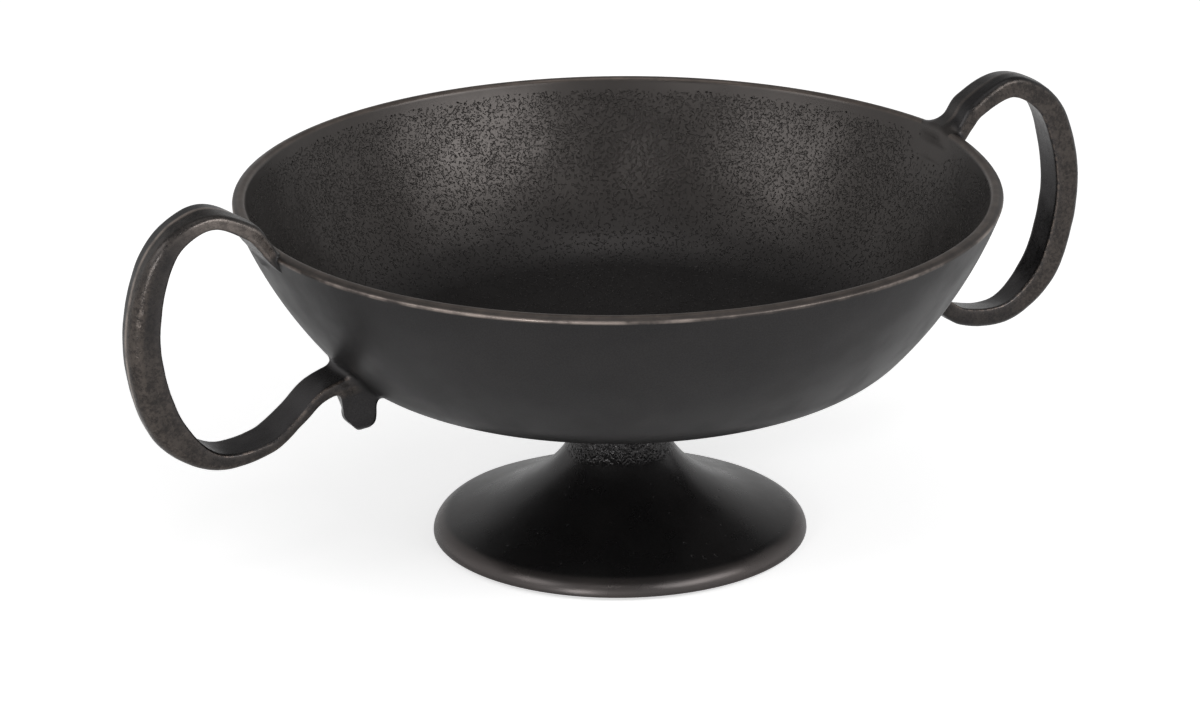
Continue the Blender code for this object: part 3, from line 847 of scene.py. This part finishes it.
def bowl_marks(points):
    r, z = np.hypot(points[:, 0], points[:, 1]), points[:, 2]
    out = outside_wall(r, z)
    inside = smoothstep(-BOWL_WALL + 0.8, -BOWL_WALL + 0.2, out)
    high = smoothstep(84.0, 122.0, z) * 0.85 + 0.15
    above = above_lip(r, z)
    below_lip = smoothstep(-5.0, -7.5, above)
    top = smoothstep(-1.5, -0.6, above)
    # The outer lip corner, lighter in colour: partly a rubbed edge, partly a painted highlight
    corner = smoothstep(0.85, 0.3, np.hypot(out, above) - 0.15)
    return {
        # Inside mark, weaker towards the bottom of the bowl: this fade is painted shade
        "inside": inside * (0.35 + 0.65 * smoothstep(76.0, 106.0, z)),
        "pits": inside * high * below_lip * (1.0 - near_roots(points, *PIT_FREE)),
        "lip": top * (0.45 + 0.55 * smoothstep(-1.6, -2.8, out)) * smoothstep(0.05, -0.5, out),
        "edge": corner,
    }


def foot_edge():
    """The rounded edge from where the flare ends to the floor side."""
    first = math.atan(EDGE_HEIGHT / EDGE_DEPTH / math.tan(FLARE_SLOPE))
    points = [(FOOT_RADIUS - EDGE_DEPTH * (1.0 - math.cos(turn)),
               FOOT_BASE + FLOOR_EDGE + (EDGE_HEIGHT - FLOOR_EDGE) * math.sin(turn))
              for turn in np.linspace(first, 0.0, EDGE_ROWS)]
    points += [(FOOT_RADIUS - FLOOR_EDGE * (1.0 - math.cos(turn)),
                FOOT_BASE + FLOOR_EDGE * (1.0 - math.sin(turn)))
               for turn in np.radians(np.linspace(0.0, 90.0, 6)[1:])]
    return np.array(points)


def foot_flare(inside, count):
    """The flare from the neck to the edge; `inside` moves it towards the hollow."""
    start, end = foot_edge()[0], np.array(FLARE_TOP)
    pull = FLARE_PULL * np.linalg.norm(end - start)
    leave = start + pull * np.array([-math.cos(FLARE_SLOPE), math.sin(FLARE_SLOPE)])
    arrive = end - pull * np.array([-math.cos(FLARE_TOP_SLOPE), math.sin(FLARE_TOP_SLOPE)])
    t = np.linspace(1.0, 0.0, count)[:, None]
    at = start * (1 - t)**3 + leave * 3 * t * (1 - t)**2 + arrive * 3 * t**2 * (1 - t) + end * t**3
    run = (leave - start) * (1 - t)**2 + (arrive - leave) * 2 * t * (1 - t) + (end - arrive) * t**2
    run = run / np.linalg.norm(run, axis=1, keepdims=True)
    return at + inside * np.stack([-run[:, 1], run[:, 0]], -1)


def dish_under(r):
    """Height of the foot's seat, just clear of the bowl."""
    return DISH_Z - math.sqrt(DISH_ARC**2 - r * r) - CLEARANCE


def foot_outside():
    """The seat under the bowl, the neck, the flare and the edge."""
    seat = NECK_RADIUS + NECK_FILLET
    points = [(r, dish_under(r)) for r in (BOSS_RADIUS + CLEARANCE, SEAT_MIDDLE, NECK_RADIUS, seat)]
    for turn in np.radians(np.linspace(0.0, 90.0, 11)[1:]):
        points.append((seat - NECK_FILLET * math.sin(turn),
                       dish_under(seat) - NECK_FILLET * (1.0 - math.cos(turn))))
    flare = foot_flare(0.0, FLARE_ROWS)
    neck_end = np.array((NECK_RADIUS, flare[0][1] + NECK_BEND))
    pull = np.array((NECK_RADIUS, flare[0][1] + NECK_BEND_PULL))
    bend = [neck_end * (1 - t)**2 + pull * 2 * t * (1 - t) + flare[0] * t**2
            for t in np.linspace(0.0, 1.0, 7)[:-1]]
    return np.concatenate([points, bend, flare[:-1], foot_edge()])


def foot_underside():
    """The land, the hollow, the web and the bores."""
    land_in = FOOT_RADIUS - FOOT_LAND
    boss_end = DISH_Z - DISH_ARC - BOSS_LENGTH
    web = boss_end - CLEARANCE - WEB_THICKNESS
    hollow = foot_flare(FOOT_WALL, HOLLOW_ROWS)[::-1]
    hollow = hollow[(hollow[:, 0] < land_in - FOOT_WALL / 4) & (hollow[:, 1] < web - 0.5)]
    land = [(FOOT_RADIUS - FOOT_LAND / 2, FOOT_BASE), (land_in, FOOT_BASE)]
    bores = [(NECK_RADIUS - FOOT_WALL, web), (BORE_RADIUS, web), (BORE_RADIUS, boss_end - CLEARANCE),
             (BOSS_RADIUS + CLEARANCE, boss_end - CLEARANCE)]
    return np.concatenate([land, hollow, bores])


def make_foot():
    outside = foot_outside()
    profile = np.concatenate([outside, foot_underside()])
    points, faces = lathe(profile, FOOT_STEPS, closed=True)
    r, z = np.hypot(points[:, 0], points[:, 1]), points[:, 2]
    outer = np.repeat(np.arange(len(profile)) < len(outside), FOOT_STEPS)
    edge_in = foot_edge()[0][0]
    marks = {
        # Band on the rounded edge, coloured lighter: partly rubbed edge, partly painted reflection
        "nose": outer * smoothstep(edge_in + NOSE_START, edge_in + NOSE_FULL, r),
        "neck": outer * smoothstep(*NECK_HEIGHTS, z),
    }
    uneven = lumps(points, FOOT_WAVES) * outer * smoothstep(22.0, 12.0, z)
    points[:, 2] += uneven * smoothstep(FOOT_BASE + 0.3, FOOT_BASE + 3.0, z)
    piece = write_mesh("cast_foot", points, faces, marks, foot_material(), sharp=SHARP_ANGLE)
    finish_piece(piece, "foot", "foot")


def make_handle(side, turned, seed, corners, blends, material):
    strap = Sweep(STRAP_PATH, corners, RIDGE_RISE)
    points, quads, normal, marks = handle_mesh(strap, blends, turned > 0)
    rough = lumps(points, STRAP_LUMPS[0], seed) + lumps(points, STRAP_LUMPS[1], seed)
    rough += lumps(points, DENT_LUMPS, seed) * marks.pop("dents")
    points = points + normal * (rough * (1.0 - marks["root"]))[:, None]
    points = points * np.array([turned, turned, 1.0])
    piece = write_mesh("strap_handle_" + side, points, quads, marks, material)
    finish_piece(piece, "handle", "handle_" + side, "upper_weld_%s_front" % side,
                 "upper_weld_%s_back" % side, "lower_weld_" + side)


def make_handles():
    """Both handles are one casting, the left one turned half a turn; corners and fillets differ."""
    material = handle_material()
    make_handle("right", 1, RIGHT_SEED, RIGHT_CORNERS, RIGHT_BLENDS, material)
    make_handle("left", -1, LEFT_SEED, LEFT_CORNERS, LEFT_BLENDS, material)


def finish_piece(piece, slot, *nodes):
    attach(piece, "root")
    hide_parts(*nodes)


def dress_nodes():
    """Procedural finishes for the CAD solids that stay."""
    zinc, spring, felt = zinc_material(), spring_material(), felt_material()
    for name, material in (("foot_screw", zinc), ("flat_washer", zinc), ("spring_washer", spring)):
        set_material(name, material)
    for name in sorted(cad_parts):
        if name.startswith("felt_pad_"):
            set_material(name, felt)


def set_material(name, material):
    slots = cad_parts[name].material_slots
    for slot in slots:
        slot.material = material
    if not slots:
        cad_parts[name].data.materials.append(material)


# Stage

WORLD_LEVEL = 0.62
BEHIND = (0.464, 0.886, 0.0)
# Fades as (from, to, what is left)
OVERHEAD_FADE = (0.15, 0.8, 0.38)
BEHIND_FADE = (0.2, 0.9, 0.5)
FLOOR_SIZE = 9.0
FLOOR_GREY = (0.86, 0.86, 0.86, 1.0)
FLOOR_LIFT = 0.4
FLOOR_SEEN = 0.2
WHITE = (1.0, 1.0, 1.0, 1.0)
# Lamps as (name, place, aim, size, power)
LAMPS = (
    ("right_softbox", (0.74, -1.46, 1.3), (0.0, 0.0, 0.1), (1.6, 0.8), 16.0),
    ("left_softbox", (-1.63, 0.07, 1.3), (0.0, 0.0, 0.1), (1.3, 0.8), 7.5),
    ("front_softbox", (-0.8, -1.0, 1.6), (0.0, 0.0, 0.02), (0.12, 0.12), 0.7),
    ("left_strip", (-1.55, -1.2, 0.33), (0.0, 0.0, 0.1), (0.25, 0.9), 9.0),
    ("top_softbox", (0.0, 0.0, 2.0), (0.0, 0.0, 0.0), (1.2, 1.2), 3.0),
)
CAMERA_PLACE = (-1.003482, -1.913661, 0.861950)
CAMERA_AIM = (-0.006544, 0.003403, 0.073933)
CAMERA_ROLL = -0.0083
CAMERA_LENS = 175.905
SENSOR_WIDTH = 36.0


def light_path_white(tree, low):
    """Strength 1 for camera, glossy and transmission rays, and `low` for the rest."""
    path = tree.nodes.new("ShaderNodeLightPath")
    total = None
    for name in ("Is Camera Ray", "Is Glossy Ray", "Is Transmission Ray"):
        if total is None:
            total = path.outputs[name]
            continue
        node = tree.nodes.new("ShaderNodeMath")
        node.operation = "MAXIMUM"
        tree.links.new(total, node.inputs[0])
        tree.links.new(path.outputs[name], node.inputs[1])
        total = node.outputs[0]
    node = tree.nodes.new("ShaderNodeMapRange")
    tree.links.new(total, node.inputs["Value"])
    node.inputs["To Min"].default_value = low
    return node.outputs["Result"]


def world_fade(tree, value, low, high, end):
    """1 where the value is below `low`, falling to `end` at `high`."""
    node = tree.nodes.new("ShaderNodeMapRange")
    node.interpolation_type = "SMOOTHSTEP"
    tree.links.new(value, node.inputs["Value"])
    limits = {"From Min": low, "From Max": high, "To Min": 1.0, "To Max": end}
    for name, number in limits.items():
        node.inputs[name].default_value = number
    return node.outputs["Result"]


def make_world():
    """White in front and at the sides, darker overhead and behind."""
    world = bpy.data.worlds.new("studio")
    bpy.context.scene.world = world
    world.use_nodes = True
    tree = world.node_tree
    place = tree.nodes.new("ShaderNodeTexCoord").outputs["Generated"]
    split = tree.nodes.new("ShaderNodeSeparateXYZ")
    tree.links.new(place, split.inputs[0])
    behind = tree.nodes.new("ShaderNodeVectorMath")
    behind.operation = "DOT_PRODUCT"
    tree.links.new(place, behind.inputs[0])
    behind.inputs[1].default_value = BEHIND
    strength = light_path_white(tree, WORLD_LEVEL)
    for fade in (world_fade(tree, split.outputs["Z"], *OVERHEAD_FADE),
                 world_fade(tree, behind.outputs["Value"], *BEHIND_FADE)):
        node = tree.nodes.new("ShaderNodeMath")
        node.operation = "MULTIPLY"
        tree.links.new(strength, node.inputs[0])
        tree.links.new(fade, node.inputs[1])
        strength = node.outputs[0]
    background = tree.nodes["Background"]
    background.inputs["Color"].default_value = WHITE
    tree.links.new(strength, background.inputs["Strength"])


def make_floor():
    bpy.ops.mesh.primitive_plane_add(size=FLOOR_SIZE)
    floor = bpy.context.object
    floor.name = "studio_floor"
    material = bpy.data.materials.new("studio_floor_white")
    material.use_nodes = True
    shader = material.node_tree.nodes["Principled BSDF"]
    shader.inputs["Base Color"].default_value = FLOOR_GREY
    shader.inputs["Roughness"].default_value = 0.7
    shader.inputs["Specular IOR Level"].default_value = 0.2
    shader.inputs["Emission Color"].default_value = WHITE
    tree = material.node_tree
    lift = tree.nodes.new("ShaderNodeMath")
    lift.operation = "MULTIPLY_ADD"
    lift.inputs[1].default_value = FLOOR_LIFT
    tree.links.new(tree.nodes.new("ShaderNodeLightPath").outputs["Is Camera Ray"], lift.inputs[0])
    seen = tree.nodes.new("ShaderNodeMath")
    seen.operation = "MULTIPLY"
    seen.inputs[1].default_value = FLOOR_SEEN
    tree.links.new(light_path_white(tree, 0.0), seen.inputs[0])
    tree.links.new(seen.outputs[0], lift.inputs[2])
    tree.links.new(lift.outputs[0], shader.inputs["Emission Strength"])
    floor.data.materials.append(material)


def area_light(name, place, aim, size, power):
    data = bpy.data.lights.new(name, "AREA")
    data.shape = "RECTANGLE"
    data.size, data.size_y = size
    data.energy = power
    lamp = bpy.data.objects.new(name, data)
    lamp.location = place
    lamp.rotation_euler = (Vector(aim) - Vector(place)).to_track_quat("-Z", "Y").to_euler()
    lamp.visible_camera = False
    bpy.context.scene.collection.objects.link(lamp)


def make_lights():
    for lamp in LAMPS:
        area_light(*lamp)


def make_camera():
    data = bpy.data.cameras.new("photo_camera")
    data.sensor_fit = "HORIZONTAL"
    data.sensor_width = SENSOR_WIDTH
    data.lens = CAMERA_LENS
    camera = bpy.data.objects.new("photo_camera", data)
    view = Vector(CAMERA_AIM) - Vector(CAMERA_PLACE)
    aim = view.to_track_quat("-Z", "Y").to_matrix().to_4x4()
    roll = Matrix.Rotation(CAMERA_ROLL, 4, "Z")
    camera.matrix_world = Matrix.Translation(CAMERA_PLACE) @ aim @ roll
    bpy.context.scene.collection.objects.link(camera)
    bpy.context.scene.camera = camera


bpy.context.scene.view_settings.view_transform = "Standard"
make_camera()
make_world()
make_lights()
make_floor()
make_bowl()
make_foot()
make_handles()
dress_nodes()
bpy.context.view_layer.update()
